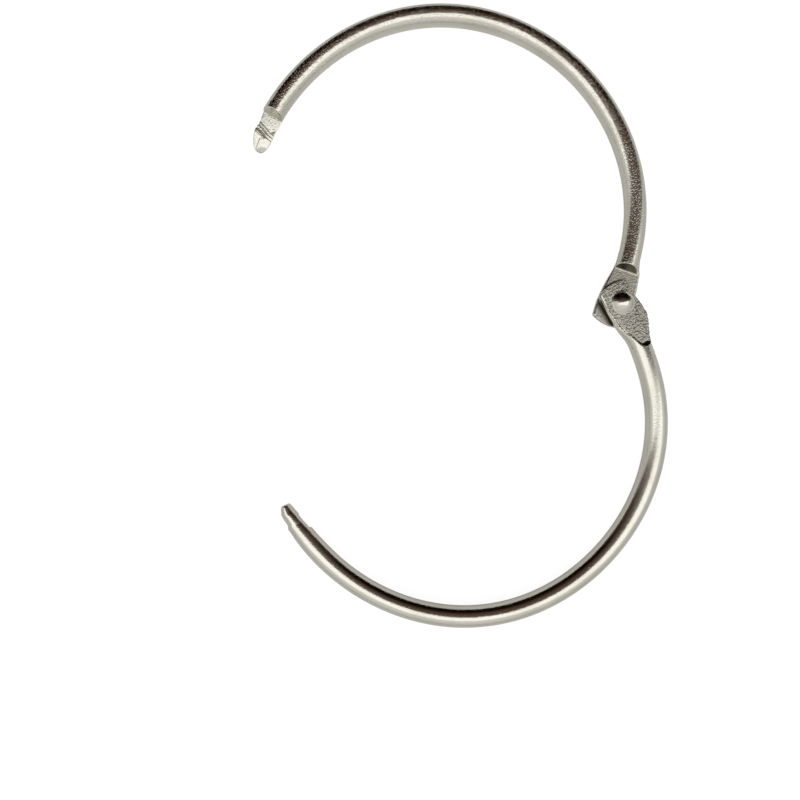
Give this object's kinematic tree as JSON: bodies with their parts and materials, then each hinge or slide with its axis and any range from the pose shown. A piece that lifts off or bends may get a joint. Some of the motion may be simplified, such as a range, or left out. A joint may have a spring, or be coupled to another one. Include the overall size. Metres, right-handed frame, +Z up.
{
  "type": "binder ring",
  "caption": "Hinged loose-leaf binder ring lying open: two half rings of nickel-plated wire riveted at flattened ears, with a hook and a tongue at the free ends.",
  "frame": {"origin": "centre of the base of the open ring's bounding box, on the surface that it lies on", "axes": "+Z up, along the hinge's axis; +X towards the hinge; +Y towards the half ring whose ear lies under the other"},
  "size_m": [0.054, 0.0852, 0.0034],
  "materials": {
    "nickel_wire": "bright nickel plating over drawn wire, slightly scuffed, grainy on the pressed flats",
    "nickel_rivet": "smooth bright nickel plating"
  },
  "bodies": {
    "under": {"under_half_ring": "nickel_wire", "hinge_rivet": "nickel_rivet"},
    "over": {"over_half_ring": "nickel_wire"}
  },
  "joints": [
    {"name": "hinge", "type": "hinge", "parent": "under", "child": "over", "pos_m": [0.02204, -0.00014, 0.0015], "axis": [0, 0, 1], "range_deg": [-58, 105]}
  ]
}
